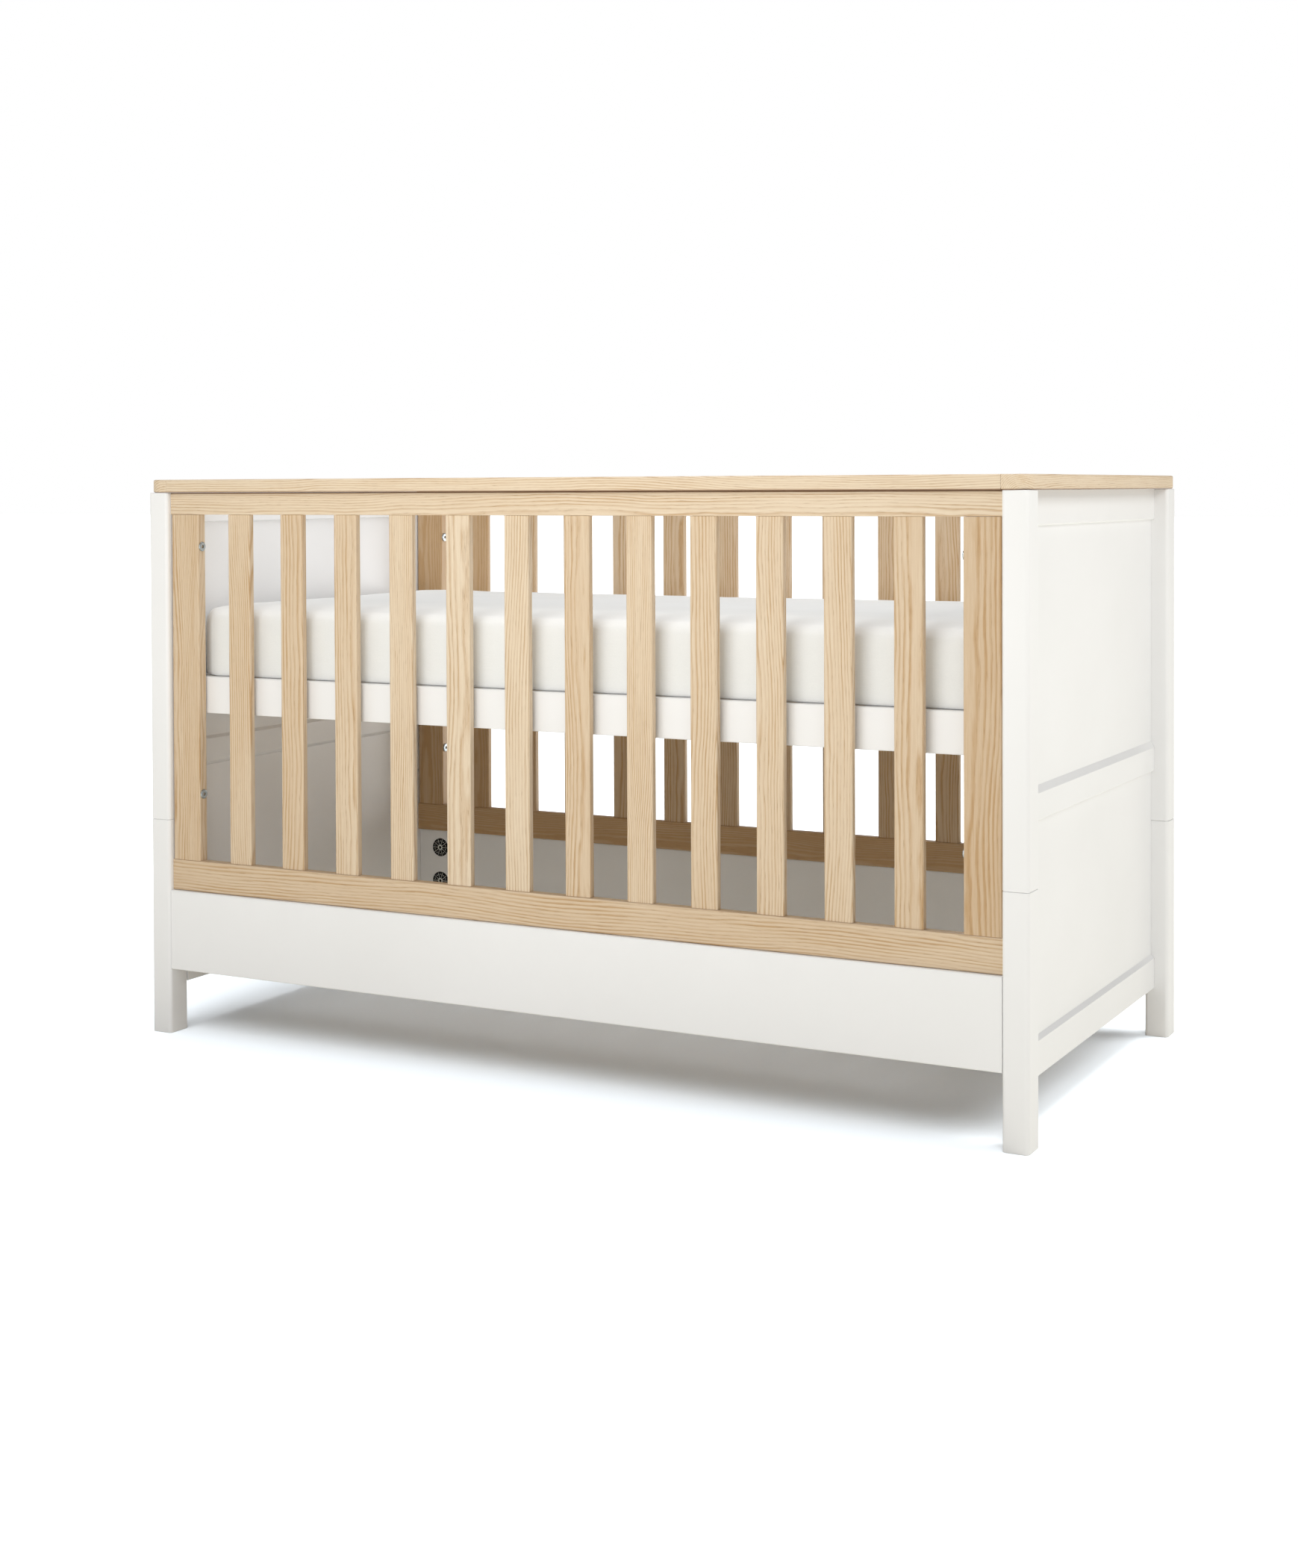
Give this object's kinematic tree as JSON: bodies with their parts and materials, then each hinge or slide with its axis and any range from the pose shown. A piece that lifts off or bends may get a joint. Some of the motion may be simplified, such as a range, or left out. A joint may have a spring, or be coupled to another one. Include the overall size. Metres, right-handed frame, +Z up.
{
  "type": "baby cot bed",
  "caption": "Oak and white cot bed with slatted sides, panelled ends in two sections, a height-adjustable mattress base, cam-locked skirt boards and a mattress.",
  "frame": {"origin": "on the floor under the middle of the bed", "axes": "+X along the bed's length, -Y the front side, +Z up"},
  "size_m": [1.493, 0.765, 0.906],
  "materials": {
    "oak": "satin",
    "white_paint": "satin",
    "black_plastic": "satin",
    "ticking": "matte"
  },
  "bodies": {
    "cot_frame": {"back_bottom_rail": "oak", "back_cap": "oak", "back_left_lower_post": "white_paint", "back_left_stile": "oak", "back_left_upper_post": "white_paint", "back_right_lower_post": "white_paint", "back_right_stile": "oak", "back_right_upper_post": "white_paint", "back_skirt": "white_paint", "back_slat_01": "oak", "back_slat_02": "oak", "back_slat_03": "oak", "back_slat_04": "oak", "back_slat_05": "oak", "back_slat_06": "oak", "back_slat_07": "oak", "back_slat_08": "oak", "back_slat_09": "oak", "back_slat_10": "oak", "back_slat_11": "oak", "back_slat_12": "oak", "back_top_rail": "oak", "front_bottom_rail": "oak", "front_cap": "oak", "front_left_lower_post": "white_paint", "front_left_stile": "oak", "front_left_upper_post": "white_paint", "front_right_lower_post": "white_paint", "front_right_stile": "oak", "front_right_upper_post": "white_paint", "front_skirt": "white_paint", "front_slat_01": "oak", "front_slat_02": "oak", "front_slat_03": "oak", "front_slat_04": "oak", "front_slat_05": "oak", "front_slat_06": "oak", "front_slat_07": "oak", "front_slat_08": "oak", "front_slat_09": "oak", "front_slat_10": "oak", "front_slat_11": "oak", "front_slat_12": "oak", "front_top_rail": "oak", "left_end_cap": "oak", "left_end_lower_board": "white_paint", "left_end_upper_board": "white_paint", "right_end_cap": "oak", "right_end_lower_board": "white_paint", "right_end_upper_board": "white_paint"},
    "mattress_base": {"mattress_base": "white_paint"},
    "mattress": {"mattress": "ticking"},
    "back_left_lower_cam": {"back_left_lower_cam": "black_plastic"},
    "back_left_upper_cam": {"back_left_upper_cam": "black_plastic"},
    "back_right_lower_cam": {"back_right_lower_cam": "black_plastic"},
    "back_right_upper_cam": {"back_right_upper_cam": "black_plastic"},
    "front_left_lower_cam": {"front_left_lower_cam": "black_plastic"},
    "front_left_upper_cam": {"front_left_upper_cam": "black_plastic"},
    "front_right_lower_cam": {"front_right_lower_cam": "black_plastic"},
    "front_right_upper_cam": {"front_right_upper_cam": "black_plastic"}
  },
  "joints": [
    {"name": "base_height", "type": "slide", "parent": "cot_frame", "child": "mattress_base", "axis": [0, 0, 1], "range_m": [-0.28, 0]},
    {"name": "mattress_lift", "type": "slide", "parent": "mattress_base", "child": "mattress", "axis": [0, 0, 1], "range_m": [0, 0.4]},
    {"name": "back_left_lower_cam_turn", "type": "hinge", "parent": "cot_frame", "child": "back_left_lower_cam", "pos_m": [-0.661, 0.36, 0.138], "axis": [0, -1, 0], "range_deg": [0, 180]},
    {"name": "back_left_upper_cam_turn", "type": "hinge", "parent": "cot_frame", "child": "back_left_upper_cam", "pos_m": [-0.661, 0.36, 0.202], "axis": [0, -1, 0], "range_deg": [0, 180]},
    {"name": "back_right_lower_cam_turn", "type": "hinge", "parent": "cot_frame", "child": "back_right_lower_cam", "pos_m": [0.661, 0.36, 0.138], "axis": [0, -1, 0], "range_deg": [0, 180]},
    {"name": "back_right_upper_cam_turn", "type": "hinge", "parent": "cot_frame", "child": "back_right_upper_cam", "pos_m": [0.661, 0.36, 0.202], "axis": [0, -1, 0], "range_deg": [0, 180]},
    {"name": "front_left_lower_cam_turn", "type": "hinge", "parent": "cot_frame", "child": "front_left_lower_cam", "pos_m": [-0.661, -0.36, 0.138], "axis": [0, 1, 0], "range_deg": [0, 180]},
    {"name": "front_left_upper_cam_turn", "type": "hinge", "parent": "cot_frame", "child": "front_left_upper_cam", "pos_m": [-0.661, -0.36, 0.202], "axis": [0, 1, 0], "range_deg": [0, 180]},
    {"name": "front_right_lower_cam_turn", "type": "hinge", "parent": "cot_frame", "child": "front_right_lower_cam", "pos_m": [0.661, -0.36, 0.138], "axis": [0, 1, 0], "range_deg": [0, 180]},
    {"name": "front_right_upper_cam_turn", "type": "hinge", "parent": "cot_frame", "child": "front_right_upper_cam", "pos_m": [0.661, -0.36, 0.202], "axis": [0, 1, 0], "range_deg": [0, 180]}
  ]
}
